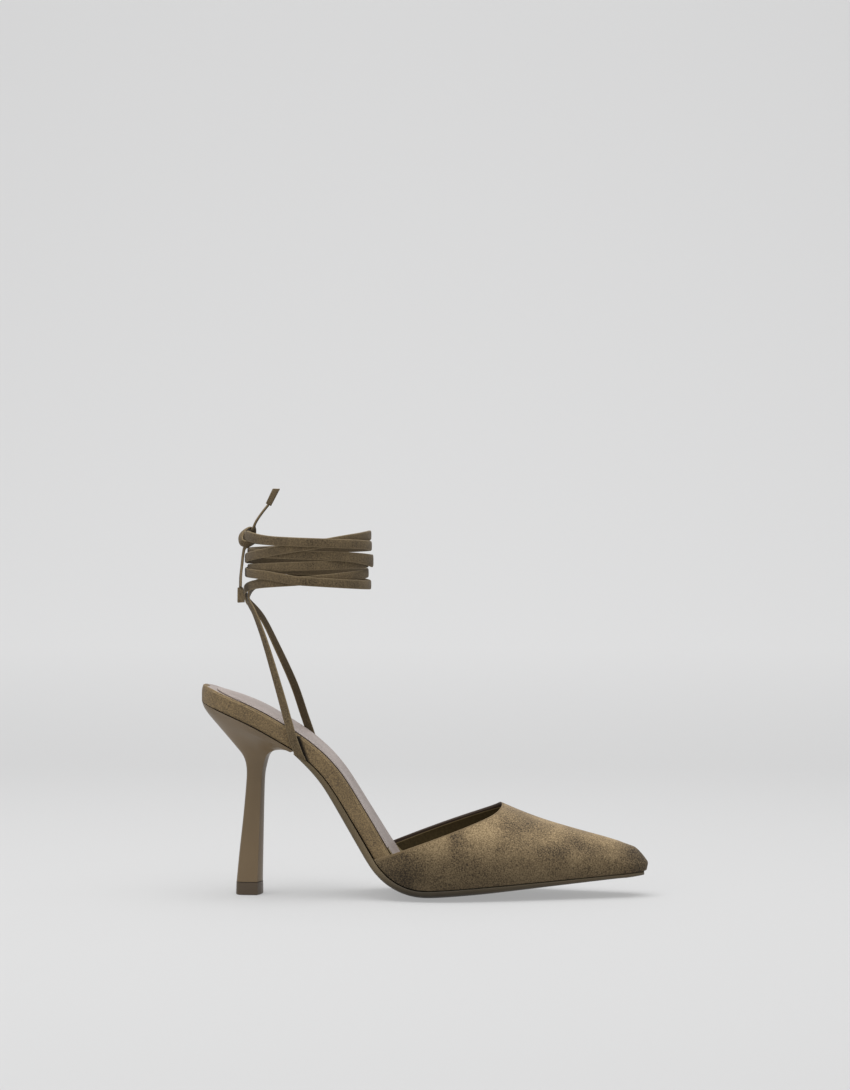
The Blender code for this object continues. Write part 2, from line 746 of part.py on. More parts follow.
def colour_of(code):
    """Linear colour values of an sRGB hex code."""
    parts = [int(code[i : i + 2], 16) / 255 for i in (1, 3, 5)]
    linear = [c / 12.92 if c <= 0.04045 else ((c + 0.055) / 1.055) ** 2.4 for c in parts]
    return (*linear, 1.0)


def finish(piece, name, code, roughness):
    material = bpy.data.materials.new(name)
    material.use_nodes = True
    shader = material.node_tree.nodes["Principled BSDF"]
    shader.inputs["Base Color"].default_value = colour_of(code)
    shader.inputs["Roughness"].default_value = roughness
    shader.inputs["Metallic"].default_value = 0.0
    piece.data.materials.append(material)
    piece.data.shade_smooth()
    piece.data.set_sharp_from_angle(angle=math.radians(SMOOTH_ANGLE))


def new_collection(name):
    collection = bpy.data.collections.new(name)
    bpy.context.scene.collection.children.link(collection)
    return collection


def main():
    for old in list(bpy.data.objects):
        bpy.data.objects.remove(old, do_unlink=True)
    shoe = new_collection("Slingback shoe")
    helpers = new_collection("Slingback shoe helpers")
    finish(make_outsole(shoe), "Outsole", "#6b5a4b", 0.45)
    finish(make_heel(shoe), "Heel", "#6b5a4b", 0.4)
    finish(make_top_piece(shoe), "Top piece", "#4a3a30", 0.5)
    finish(make_footbed(shoe), "Wrapped footbed", "#5f4a3c", 0.8)
    finish(make_sock(shoe), "Sock", "#8c7c78", 0.6)
    finish(make_upper(shoe), "Nubuck upper", "#5a4436", 0.85)
    finish(make_ankle_ties(shoe, helpers), "Nubuck ties", "#5c4638", 0.9)
    finish(make_knot(shoe, helpers), "Nubuck knot", "#5c4638", 0.9)
    rising = make_end("tie_end_rising", RISING_END_ROUTE, RISING_FACING, shoe)
    finish(rising, "Rising end", "#5c4638", 0.9)
    hanging = make_end("tie_end_hanging", HANGING_END_ROUTE, HANGING_FACING, shoe)
    finish(hanging, "Hanging end", "#5c4638", 0.9)
    finish(make_tip("tie_tip_rising", RISING_END_ROUTE, RISING_TIP, shoe), "Rising tip", "#4f3d31", 0.6)
    finish(make_tip("tie_tip_hanging", HANGING_END_ROUTE, HANGING_TIP, shoe), "Hanging tip", "#4f3d31", 0.6)


main()
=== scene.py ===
"""Looks of the pointed pump with ankle ties: nubuck vamp, wrapped footbed, satin heel and limp laces.

Lengths are written in millimetres and turned into metres by MM. X runs from heel to toe, -Y is the
outer side, which faces the camera, and Z = 0 is the floor.
"""

import math
from collections import namedtuple

import bmesh
import bpy
from mathutils import Matrix, Vector


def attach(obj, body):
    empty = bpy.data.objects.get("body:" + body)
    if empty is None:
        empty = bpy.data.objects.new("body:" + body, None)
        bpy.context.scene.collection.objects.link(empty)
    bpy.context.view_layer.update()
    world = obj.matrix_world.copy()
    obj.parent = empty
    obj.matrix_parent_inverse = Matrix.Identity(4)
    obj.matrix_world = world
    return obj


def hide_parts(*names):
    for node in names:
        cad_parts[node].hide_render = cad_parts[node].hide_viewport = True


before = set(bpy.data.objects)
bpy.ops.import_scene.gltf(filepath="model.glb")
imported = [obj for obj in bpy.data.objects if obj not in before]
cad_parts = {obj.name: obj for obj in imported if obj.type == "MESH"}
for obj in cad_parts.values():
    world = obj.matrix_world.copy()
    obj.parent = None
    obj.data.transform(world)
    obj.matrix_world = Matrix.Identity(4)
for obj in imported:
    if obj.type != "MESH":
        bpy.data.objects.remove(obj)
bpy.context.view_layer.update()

MM = 0.001
BODY = "root"

# The photograph's camera, 1.5 m away and level, a little towards the toe
CAMERA_DISTANCE = 1500.0
CAMERA_HEIGHT = 174.6
CAMERA_AZIMUTH = 2.5
PHOTO_HEIGHT = 1090
FOCAL_PIXELS = 3000
SENSOR = 36.0
CAMERA_REACH = 20000.0

# The studio
FLOOR_SIZE = 6000.0
WALL_Y = 1500.0
WALL_HEIGHT = 3500.0
SWEEP_RADIUS = 700.0
SWEEP_SEGMENTS = 24
SWEEP_ANGLE = 60
SWEEP_SHADE = 0.12
BACKDROP_GLOW = 0.34
WORLD_COLOUR = "#fbfcff"
WORLD_STRENGTH = 0.38

# The lights: places, targets and sizes in metres, powers in watts
Softbox = namedtuple("Softbox", "name place target size power colour")
SHOE_MIDDLE = (0.0, 0.0, 0.08)
WALL_MIDDLE = (0.0, 1.4, 0.3)
SOFTBOXES = (
    Softbox("Overhead softbox", (-0.1, -0.2, 1.3), SHOE_MIDDLE, 1.5, 19, "#ffffff"),
    Softbox("Front softbox", (-1.0, -1.5, 0.9), SHOE_MIDDLE, 0.9, 3.6, "#fffdf8"),
    Softbox("Backdrop wash", (0.0, 0.5, 2.2), WALL_MIDDLE, 1.5, 9, "#ffffff"),
)

# The laces, as they are wound: turn 0 is the back of the ankle, 90 the side that faces the camera
Upright = namedtuple("Upright", "x y z facing")
Wrap = namedtuple("Wrap", "turn height layer width")
Knot = namedtuple("Knot", "x y z width free")
UPRIGHT_WIDTH = 4.1
LACE_THICKNESS = 1.2
LAYER_STEP = 1.28
ANKLE_X = -58.6
ANKLE_RADIUS = 29.8
TURN_STEP = 4.0
UPRIGHT_STEPS = 10
KNOT_STEPS = 8
SECTION_POINTS = 16
SECTION_SQUARENESS = 3.2
# The inner side of a lace, facing the ankle, is darkened towards its dark tone: its own flesh colour and
# painted shade
FLESH_SHADE = 0.65
FLESH_SIDE = -0.5
LACE_EDGE_FROM = 0.78
LACE_EDGE_SPAN = 0.22
FOOT_SLANT = 1.2
FOOT_RUN = 8.0
LATERAL_UPRIGHT = (
    Upright(-60.5, -23.2, 69.6, 90),
    Upright(-61.6, -24.5, 72.4, 90),
    Upright(-64.1, -25.2, 79.5, 90),
    Upright(-66.7, -24.8, 88.5, 82),
    Upright(-71.1, -21.6, 103.1, 66),
    Upright(-78.5, -17.2, 126.4, 44),
    Upright(-84.2, -12.8, 140.6, 26),
)
LATERAL_WRAP = (
    Wrap(14, 145.8, 0, 4.3),
    Wrap(0, 150.0, 0, 4.5),
    Wrap(-25, 155.0, 0, 4.5),
    Wrap(-58, 157.0, 0.9, 4.5),
    Wrap(-90, 158.3, 1, 4.5),
    Wrap(-180, 154.7, 1, 4.6),
    Wrap(-270, 156.8, 1, 4.5),
    Wrap(-310, 159.8, 1, 4.5),
    Wrap(-360, 161.2, 1, 4.5),
    Wrap(-450, 164.0, 1, 4.5),
    Wrap(-520, 167.2, 1.2, 4.5),
    Wrap(-545, 166.7, 2.0, 6.4),
    Wrap(-562, 167.6, 1.6, 5.6),
    Wrap(-590, 168.8, 1.1, 4.8),
    Wrap(-622, 169.5, 0, 4.5),
    Wrap(-720, 171.1, 0, 4.5),
    Wrap(-810, 172.6, 0.2, 4.5),
    Wrap(-900, 174.1, 1.3, 4.6),
    Wrap(-920, 174.6, 2, 4.6),
    Wrap(-1015, 176.6, 2, 4.5),
    Wrap(-1058, 179.2, 1.4, 5.2),
)
MEDIAL_UPRIGHT = (
    Upright(-55.3, 21.4, 66.0, -90),
    Upright(-56.5, 22.5, 69.4, -90),
    Upright(-58.9, 23.5, 77.9, -90),
    Upright(-62.5, 23.0, 88.6, -82),
    Upright(-67.5, 20.4, 104.0, -64),
    Upright(-75.5, 16.8, 122.5, -44),
    Upright(-82.8, 13.0, 137.8, -28),
)
MEDIAL_WRAP = (
    Wrap(-14, 146.4, 1.7, 4.3),
    Wrap(4, 152.0, 1.5, 4.5),
    Wrap(25, 154.6, 0, 4.5),
    Wrap(90, 157.0, 0, 4.5),
    Wrap(180, 160.6, 0, 4.5),
    Wrap(270, 161.6, 0, 4.5),
    Wrap(360, 162.6, 0, 4.6),
    Wrap(450, 164.2, 0, 4.5),
    Wrap(540, 165.6, 0, 4.5),
    Wrap(630, 166.6, 0, 4.5),
    Wrap(664, 166.9, 0, 4.5),
    Wrap(684, 167.2, 1, 4.5),
    Wrap(720, 167.8, 1, 4.5),
    Wrap(810, 173.8, 1, 4.5),
    Wrap(860, 177.9, 1, 4.5),
    Wrap(900, 179.6, 1, 4.6),
    Wrap(930, 178.4, 1.6, 4.5),
    Wrap(990, 175.6, 1.7, 4.5),
    Wrap(1058, 177.5, 1, 4.5),
)

# The free ends, from the windings through the knot to their tips. In the knot a lace lies flat round
# its centre, and where free is 1 it faces the way that its loose end does
KNOT_CENTRE = Vector((-87.6, -3.0, 178.4))
RISING_ROUTE = (
    Knot(-88.9, -9.0, 178.9, 5.6, 0),
    Knot(-90.2, -6.0, 178.7, 5.4, 0),
    Knot(-90.2, -2.4, 178.0, 4.4, 0),
    Knot(-89.1, 0.6, 177.5, 3.6, 0),
    Knot(-87.4, 1.6, 178.0, 3.4, 0),
    Knot(-86.4, 0.6, 179.8, 3.2, 0),
    Knot(-86.1, -0.8, 181.8, 3.2, 0.5),
    Knot(-85.6, -2.0, 183.8, 3.6, 1),
    Knot(-84.2, -2.3, 186.8, 4.0, 1),
    Knot(-81.6, -2.1, 190.6, 4.2, 1),
    Knot(-78.4, -1.8, 194.7, 4.2, 1),
)
HANGING_ROUTE = (
    Knot(-88.6, 7.6, 179.2, 4.4, 0),
    Knot(-88.3, 4.2, 181.6, 4.0, 0),
    Knot(-88.5, 0.6, 182.8, 3.8, 0),
    Knot(-89.6, -2.8, 182.3, 3.6, 0),
    Knot(-91.2, -5.8, 180.4, 3.6, 0),
    Knot(-91.6, -7.8, 177.9, 3.6, 0),
    Knot(-90.8, -9.6, 175.9, 3.8, 0),
    Knot(-88.9, -10.2, 175.2, 3.6, 0),
    Knot(-86.8, -9.4, 175.2, 3.4, 0),
    Knot(-85.9, -6.6, 175.6, 3.2, 0),
    Knot(-87.4, -4.4, 175.2, 3.2, 0.2),
    Knot(-89.9, -4.3, 173.4, 3.2, 0.6),
    Knot(-90.8, -4.6, 169.8, 3.6, 1),
    Knot(-91.2, -6.0, 165.0, 4.0, 1),
    Knot(-91.6, -8.4, 159.0, 4.2, 1),
    Knot(-91.5, -10.6, 153.4, 4.2, 1),
)
RISING_FACING = (0, 37)
HANGING_FACING = (16, 0)

# The tips, which show their broad sides and are cut off square or, above, level
Tip = namedtuple("Tip", "far near_width far_width cut")
RISING_TIP = Tip(Vector((-74.4, -1.4, 202.8)), 2.9, 3.3, 0.8)
HANGING_TIP = Tip(Vector((-91.0, -12.2, 146.1)), 2.8, 3.6, 0.0)
TIP_THICKNESS = 1.9
TIP_CUTS = 4

# The vamp's nose: its top is smoothed from the corner on, and its front is drawn forward
NOSE_CORNER_X = 98.0
NOSE_CORNER_Z = 17.0
NOSE_SMOOTHING = 0.5
NOSE_ROUNDS = 8
NOSE_FRONT_X = 109.0
NOSE_FULLNESS = 0.7
NOSE_REACH = 7.0

# The vamp's inside, told by the axis of the foot and by the tilt of the rim, and its topline, a
# straight line seen from the side, with the bands below it
AXIS_END_X = 85.0
AXIS_Z = 14.0
RIM_FACING = -0.12
RIM_LEVEL = 0.3
TOPLINE_X = -24.0
TOPLINE_Z = 19.9
TOPLINE_SLOPE = 0.367
MEDIAL_TOPLINE_RISE = 2.0
FACING_DEPTH = 1.9
PIPING = 0.5
BAND_BLUR = 0.15

# The painted shade above the sole and towards the tread, and the narrow faces of edges that get wear
# and a painted highlight
SOLE_SHADE_Z = 6.1
SOLE_SHADE_SLOPE = -0.05
SOLE_SHADE_HEIGHT = 36.0
TREAD_Z = 2.5
TREAD_SHADE_Z = 16.0
EDGE_FACING = 0.3
EDGE_WIDTH = 0.5
EDGE_ASPECT = 1.8
EDGE_TURN_LEAST = 8.0
EDGE_TURN_MOST = 14.0
EDGE_WEAR_AND_HIGHLIGHT = 0.75

# The footbed: the fold and the lowered corner at its back, how level its top is, and the slits in its
# edge that the ties come out of, seen from the side, with a painted shadow in them
BACK_FOLD_X = -108.2
BACK_END_X = -111.4
BACK_MIDDLE_Z = 100.0
BACK_DROP = 1.6
TOP_LEVEL = 0.3
TOP_LEAN = 0.35
SLIT_X = -57.0
SLIT_Z = 67.6
SLIT_LEAN = -0.358
SLIT_TOP_Z = 80.3
SLIT_BEHIND = 2.0
SLIT_SHADOW_CORE = 0.2
SLIT_SHADE = 1.6
SLIT_SHADOW_COLOUR = "#14100b"

# The seam across the sock, and its stitches
SEAM_X = -8.5
SEAM_BEND = 0.0163
SEAM_BLUR = 0.2
SEAM_REACH = 23.0
STITCH_STEP = 2.3
STITCH_LENGTH = 1.5
STITCH_WIDTH = 0.5
STITCH_HEIGHT = 0.35
STITCH_DIP = 0.1
STITCH_SEARCH_Z = 84.0
STITCH_MIDDLE = 0.3
STITCH_SIDES = 10
STITCH_RINGS = 6

# How far edges are rounded, and the least angle in degrees of an edge that is
VAMP_ROUND = 0.45
VAMP_ROUND_ANGLE = 65
FOOTBED_ROUND = 0.2
SOCK_ROUND = 0.15
HEEL_ROUND = 0.35
TOP_PIECE_ROUND = 0.3
TOP_PIECE_ROUND_ANGLE = 30
SOLE_ROUND = 0.3
TIP_ROUND = 0.3
TIP_ROUND_ANGLE = 40
TIP_ROUND_SEGMENTS = 3
ROUND_ANGLE = 45
ROUND_SEGMENTS = 2
SMOOTH_LEVELS = 2
CREASE_ANGLE = 50

# How the loose triangles of a CAD node become quads: a distance, and angles in degrees
MERGE_DISTANCE = 0.01
QUAD_BEND = 60
QUAD_SKEW = 120


def linear(code):
    """Linear colour of an sRGB hex code."""
    parts = [int(code[i : i + 2], 16) / 255 for i in (1, 3, 5)]
    return (*[c / 12.92 if c <= 0.04045 else ((c + 0.055) / 1.055) ** 2.4 for c in parts], 1.0)


def add(tree, kind, inputs=None, stops=(), **settings):
    """Adds a node with its settings and links; stops are a colour ramp's places and hex codes."""
    made = tree.nodes.new(kind)
    for key, value in settings.items():
        setattr(made, key, value)
    for key, value in (inputs or {}).items():
        if isinstance(value, bpy.types.NodeSocket):
            tree.links.new(value, made.inputs[key])
        else:
            made.inputs[key].default_value = value
    for number, (place, code) in enumerate(stops):
        elements = made.color_ramp.elements
        element = elements[number] if number < 2 else elements.new(1.0)
        element.position = place
        element.color = linear(code)
    return made


def start_material(name, **sockets):
    """A material with its shader's constant values set."""
    material = bpy.data.materials.new(name)
    material.use_nodes = True
    shader = material.node_tree.nodes["Principled BSDF"]
    for key, value in sockets.items():
        shader.inputs[key.replace("_", " ")].default_value = value
    return material, material.node_tree, shader


def per_mm(size):
    """A texture's scale for features of this size in millimetres."""
    return 1 / (size * MM)


def nubuck(name, light, middle, dark, edge, grain_size, cloud_size, clouding, sole_shade=0.0, slit_shadow=0.0):
    """Buffed and waxed nubuck: dull, rubbed into soft dark clouds, with close grain, cut edges with wear and
    a painted highlight in a shade of their own, a darker flesh side with painted shade, painted shade just
    above the sole, and a painted shadow in the slits that the ties come out of. Real grain is finer, and it
    is drawn as coarse as it needs to show."""
    material, tree, shader = start_material(
        name, Roughness=0.88, Specular_IOR_Level=0.2, Sheen_Weight=0.08, Sheen_Roughness=0.5
    )
    place = add(tree, "ShaderNodeTexCoord").outputs["Object"]
    clouds = add(tree, "ShaderNodeTexNoise", {
        "Vector": place, "Scale": per_mm(cloud_size), "Detail": 1.5, "Roughness": 0.45, "Distortion": 0.6,
    })
    grain = add(tree, "ShaderNodeTexNoise", {
        "Vector": place, "Scale": per_mm(grain_size), "Detail": 1.0, "Roughness": 0.55,
    })
    pits = add(tree, "ShaderNodeTexVoronoi", {
        "Vector": place, "Scale": per_mm(1.1 * grain_size), "Randomness": 1.0,
    })
    rubbed = add(tree, "ShaderNodeMath", {
        0: clouds.outputs["Fac"], 1: clouding, 2: -0.5 * clouding,
    }, operation="MULTIPLY_ADD")
    shade = add(tree, "ShaderNodeMath", {
        0: grain.outputs["Fac"], 1: 1.0, 2: rubbed.outputs[0],
    }, operation="MULTIPLY_ADD")
    tone = add(tree, "ShaderNodeValToRGB", {"Fac": shade.outputs[0]}, (
        (0.24, dark), (0.5, middle), (0.76, light),
    ))
    pitted = add(tree, "ShaderNodeMapRange", {
        "Value": pits.outputs["Distance"], "From Min": 0.1, "From Max": 0.45, "To Min": 0.8, "To Max": 1.0,
    })
    specked = add(tree, "ShaderNodeMix", {
        "Factor": 1.0, "A": tone.outputs["Color"], "B": pitted.outputs["Result"],
    }, data_type="RGBA", blend_type="MULTIPLY")
    axes = add(tree, "ShaderNodeSeparateXYZ", {"Vector": place})
    # Painted shade: darker towards the sole seam, where the lower sides of the shoe are in shade
    sole = add(tree, "ShaderNodeMath", {
        0: axes.outputs["X"], 1: -SOLE_SHADE_SLOPE, 2: axes.outputs["Z"],
    }, operation="MULTIPLY_ADD")
    height = add(tree, "ShaderNodeMapRange", {
        "Value": sole.outputs[0], "From Min": SOLE_SHADE_Z * MM, "From Max": (SOLE_SHADE_Z + SOLE_SHADE_HEIGHT) * MM,
        "To Min": 1 - sole_shade, "To Max": 1.0,
    }, interpolation_type="SMOOTHSTEP")
    sole_shaded = add(tree, "ShaderNodeMix", {
        "Factor": 1.0, "A": specked.outputs["Result"], "B": height.outputs["Result"],
    }, data_type="RGBA", blend_type="MULTIPLY")
    # The flesh side of a lace: its own darker colour, with painted shade
    flesh_and_shade = add(tree, "ShaderNodeAttribute", attribute_name="flesh_and_shade")
    backed = add(tree, "ShaderNodeMix", {
        "Factor": flesh_and_shade.outputs["Fac"], "A": sole_shaded.outputs["Result"], "B": linear(dark),
    }, data_type="RGBA")
    # Wear and a painted highlight on the marked edges
    edge_wear_and_highlight = add(tree, "ShaderNodeAttribute", attribute_name="edge_wear_and_highlight")
    wear_and_highlight = add(tree, "ShaderNodeMath", {0: edge_wear_and_highlight.outputs["Fac"], 1: EDGE_WEAR_AND_HIGHLIGHT}, operation="MULTIPLY")
    edged = add(tree, "ShaderNodeMix", {
        "Factor": wear_and_highlight.outputs[0], "A": backed.outputs["Result"], "B": linear(edge),
    }, data_type="RGBA")
    # Painted shadow: a dark band along the slit beside the near tie, fading towards the toe
    past_slit = add(tree, "ShaderNodeMath", {
        0: axes.outputs["Z"], 1: -SLIT_LEAN, 2: (SLIT_LEAN * SLIT_Z - SLIT_X) * MM,
    }, operation="MULTIPLY_ADD")
    from_slit = add(tree, "ShaderNodeMath", {0: axes.outputs["X"], 1: past_slit.outputs[0]}, operation="ADD")
    ahead = add(tree, "ShaderNodeMapRange", {
        "Value": from_slit.outputs[0], "From Min": SLIT_SHADOW_CORE * MM, "From Max": SLIT_SHADE * MM,
        "To Min": slit_shadow, "To Max": 0.0,
    })
    behind = add(tree, "ShaderNodeMath", {
        0: from_slit.outputs[0], 1: -SLIT_BEHIND * MM,
    }, operation="GREATER_THAN")
    below = add(tree, "ShaderNodeMath", {0: axes.outputs["Z"], 1: SLIT_TOP_Z * MM}, operation="LESS_THAN")
    beside = add(tree, "ShaderNodeMath", {0: behind.outputs[0], 1: below.outputs[0]}, operation="MULTIPLY")
    slit_shadow_mask = add(tree, "ShaderNodeMath", {0: ahead.outputs[0], 1: beside.outputs[0]}, operation="MULTIPLY")
    slit_shadowed = add(tree, "ShaderNodeMix", {
        "Factor": slit_shadow_mask.outputs[0], "A": edged.outputs["Result"], "B": linear(SLIT_SHADOW_COLOUR),
    }, data_type="RGBA")
    bump = add(tree, "ShaderNodeBump", {
        "Height": shade.outputs[0], "Strength": 0.4, "Distance": 0.25 * MM,
    })
    tree.links.new(slit_shadowed.outputs["Result"], shader.inputs["Base Color"])
    tree.links.new(bump.outputs["Normal"], shader.inputs["Normal"])
    return material


def satin_plastic(name, light, dark, roughness, lacquer=0.15, stipple=0.1, tread_shade=1.0):
    """Injection moulded and lacquered plastic: even colour, soft gloss and a faint orange peel, and on a
    sole a painted shade that darkens it towards its tread."""
    material, tree, shader = start_material(
        name, Roughness=roughness, Coat_Weight=lacquer, Coat_Roughness=0.3, Specular_IOR_Level=0.35
    )
    place = add(tree, "ShaderNodeTexCoord").outputs["Object"]
    drift = add(tree, "ShaderNodeTexNoise", {"Vector": place, "Scale": per_mm(30.0), "Detail": 2.0})
    peel = add(tree, "ShaderNodeTexNoise", {"Vector": place, "Scale": per_mm(1.6), "Detail": 1.0})
    tone = add(tree, "ShaderNodeValToRGB", {"Fac": drift.outputs["Fac"]}, ((0.3, dark), (0.7, light)))
    axes = add(tree, "ShaderNodeSeparateXYZ", {"Vector": place})
    # Painted shade: the sole is darkened towards the floor, where it is in shadow
    tread_shading = add(tree, "ShaderNodeMapRange", {
        "Value": axes.outputs["Z"], "From Min": TREAD_Z * MM, "From Max": TREAD_SHADE_Z * MM,
        "To Min": tread_shade, "To Max": 1.0,
    })
    shaded = add(tree, "ShaderNodeMix", {
        "Factor": 1.0, "A": tone.outputs["Color"], "B": tread_shading.outputs["Result"],
    }, data_type="RGBA", blend_type="MULTIPLY")
    bump = add(tree, "ShaderNodeBump", {
        "Height": peel.outputs["Fac"], "Strength": stipple, "Distance": 0.1 * MM,
    })
    tree.links.new(shaded.outputs["Result"], shader.inputs["Base Color"])
    tree.links.new(bump.outputs["Normal"], shader.inputs["Normal"])
    return material


def sock_leather(name, light, dark, fore_light, fore_dark):
    """Finished pigskin, mauve grey behind a curved seam and olive in front of it: close pores and a
    low sheen."""
    material, tree, shader = start_material(name, Roughness=0.5, Specular_IOR_Level=0.35)
    place = add(tree, "ShaderNodeTexCoord").outputs["Object"]
    drift = add(tree, "ShaderNodeTexNoise", {"Vector": place, "Scale": per_mm(18.0), "Detail": 3.0})
    pores = add(tree, "ShaderNodeTexVoronoi", {"Vector": place, "Scale": per_mm(0.9)})
    rear = add(tree, "ShaderNodeValToRGB", {"Fac": drift.outputs["Fac"]}, ((0.3, dark), (0.7, light)))
    fore = add(tree, "ShaderNodeValToRGB", {"Fac": drift.outputs["Fac"]}, (
        (0.3, fore_dark), (0.7, fore_light),
    ))
    axes = add(tree, "ShaderNodeSeparateXYZ", {"Vector": place})
    square = add(tree, "ShaderNodeMath", {0: axes.outputs["Y"], 1: axes.outputs["Y"]}, operation="MULTIPLY")
    ahead = add(tree, "ShaderNodeMath", {
        0: square.outputs[0], 1: SEAM_BEND / MM, 2: axes.outputs["X"],
    }, operation="MULTIPLY_ADD")
    past = add(tree, "ShaderNodeMapRange", {
        "Value": ahead.outputs[0], "From Min": (SEAM_X - SEAM_BLUR) * MM,
        "From Max": (SEAM_X + SEAM_BLUR) * MM,
    })
    tone = add(tree, "ShaderNodeMix", {
        "Factor": past.outputs["Result"], "A": rear.outputs["Color"], "B": fore.outputs["Color"],
    }, data_type="RGBA")
    bump = add(tree, "ShaderNodeBump", {
        "Height": pores.outputs["Distance"], "Strength": 0.15, "Distance": 0.1 * MM,
    })
    tree.links.new(tone.outputs["Result"], shader.inputs["Base Color"])
    tree.links.new(bump.outputs["Normal"], shader.inputs["Normal"])
    return material


def vamp_lining(name, facing, piping, light, dark):
    """Fabric-backed lining inside the vamp, below a folded facing and a pale line of piping. The
    weave is drawn coarser than a real one, so that it shows."""
    material, tree, shader = start_material(name, Roughness=0.8, Specular_IOR_Level=0.2)
    place = add(tree, "ShaderNodeTexCoord").outputs["Object"]
    weave = add(tree, "ShaderNodeTexNoise", {"Vector": place, "Scale": per_mm(1.2), "Detail": 2.0})
    cloth = add(tree, "ShaderNodeValToRGB", {"Fac": weave.outputs["Fac"]}, ((0.3, dark), (0.7, light)))
    axes = add(tree, "ShaderNodeSeparateXYZ", {"Vector": place})
    medial = add(tree, "ShaderNodeMath", {0: axes.outputs["Y"], 1: 0.0}, operation="GREATER_THAN")
    line = add(tree, "ShaderNodeMath", {
        0: axes.outputs["X"], 1: TOPLINE_SLOPE, 2: (TOPLINE_Z - TOPLINE_SLOPE * TOPLINE_X) * MM,
    }, operation="MULTIPLY_ADD")
    raised = add(tree, "ShaderNodeMath", {
        0: medial.outputs[0], 1: MEDIAL_TOPLINE_RISE * MM, 2: line.outputs[0],
    }, operation="MULTIPLY_ADD")
    below = add(tree, "ShaderNodeMath", {0: raised.outputs[0], 1: axes.outputs["Z"]}, operation="SUBTRACT")
    off_facing = add(tree, "ShaderNodeMapRange", {
        "Value": below.outputs[0], "From Min": FACING_DEPTH * MM,
        "From Max": (FACING_DEPTH + BAND_BLUR) * MM,
    })
    off_piping = add(tree, "ShaderNodeMapRange", {
        "Value": below.outputs[0], "From Min": (FACING_DEPTH + PIPING) * MM,
        "From Max": (FACING_DEPTH + PIPING + BAND_BLUR) * MM,
    })
    bands = add(tree, "ShaderNodeMix", {
        "Factor": off_facing.outputs["Result"], "A": linear(facing), "B": linear(piping),
    }, data_type="RGBA")
    tone = add(tree, "ShaderNodeMix", {
        "Factor": off_piping.outputs["Result"], "A": bands.outputs["Result"], "B": cloth.outputs["Color"],
    }, data_type="RGBA")
    bump = add(tree, "ShaderNodeBump", {
        "Height": weave.outputs["Fac"], "Strength": 0.2, "Distance": 0.2 * MM,
    })
    tree.links.new(tone.outputs["Result"], shader.inputs["Base Color"])
    tree.links.new(bump.outputs["Normal"], shader.inputs["Normal"])
    return material


def deselect():
    """Leaves edit mode, with nothing selected."""
    if bpy.context.mode != "OBJECT":
        bpy.ops.object.mode_set(mode="OBJECT")
    bpy.ops.object.select_all(action="DESELECT")


def make_active(piece):
    """Selects one piece alone."""
    deselect()
    piece.select_set(True)
    bpy.context.view_layer.objects.active = piece


def apply_modifier(piece, kind, **settings):
    """Adds a modifier and applies it at once."""
    make_active(piece)
    modifier = piece.modifiers.new(kind.title(), kind)
    for key, value in settings.items():
        setattr(modifier, key, value)
    bpy.ops.object.modifier_apply(modifier=modifier.name)


def merged(node, name):
    """A copy of a CAD node, with its loose triangles merged into quads."""
    make_active(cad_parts[node])
    bpy.ops.object.duplicate()
    piece = bpy.context.object
    piece.name = name
    piece.data.name = name
    bpy.ops.object.mode_set(mode="EDIT")
    bpy.ops.mesh.select_all(action="SELECT")
    bpy.ops.mesh.remove_doubles(threshold=MERGE_DISTANCE * MM)
    bpy.ops.mesh.tris_convert_to_quads(
        face_threshold=math.radians(QUAD_BEND), shape_threshold=math.radians(QUAD_SKEW)
    )
    bpy.ops.mesh.customdata_custom_splitnormals_clear()
    bpy.ops.object.mode_set(mode="OBJECT")
    piece.data.materials.clear()
    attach(piece, BODY)
    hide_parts(node)
    return piece


def pick(piece, kind, wanted):
    """Goes into edit mode with only the wanted points or faces selected."""
    make_active(piece)
    bpy.ops.object.mode_set(mode="EDIT")
    bpy.ops.mesh.select_mode(type=kind)
    bpy.ops.mesh.select_all(action="DESELECT")
    bpy.ops.object.mode_set(mode="OBJECT")
    for element in piece.data.polygons if kind == "FACE" else piece.data.vertices:
        element.select = wanted(element)
    bpy.ops.object.mode_set(mode="EDIT")


def give(piece, material, wanted):
    """Adds a material and gives it to the faces that are wanted."""
    piece.data.materials.append(material)
    piece.active_material_index = len(piece.data.materials) - 1
    pick(piece, "FACE", wanted)
    bpy.ops.object.material_slot_assign()
    bpy.ops.object.mode_set(mode="OBJECT")


def round_off(piece, bevel, angle=ROUND_ANGLE):
    """Rounds a piece's sharp edges, marks them and smooths its surface."""
    apply_modifier(
        piece, "BEVEL", width=bevel * MM, segments=ROUND_SEGMENTS, limit_method="ANGLE",
        angle_limit=math.radians(angle), use_clamp_overlap=True,
    )
    mark_edges(piece)
    apply_modifier(piece, "SUBSURF", levels=SMOOTH_LEVELS, render_levels=SMOOTH_LEVELS)
    make_active(piece)
    bpy.ops.object.shade_smooth()


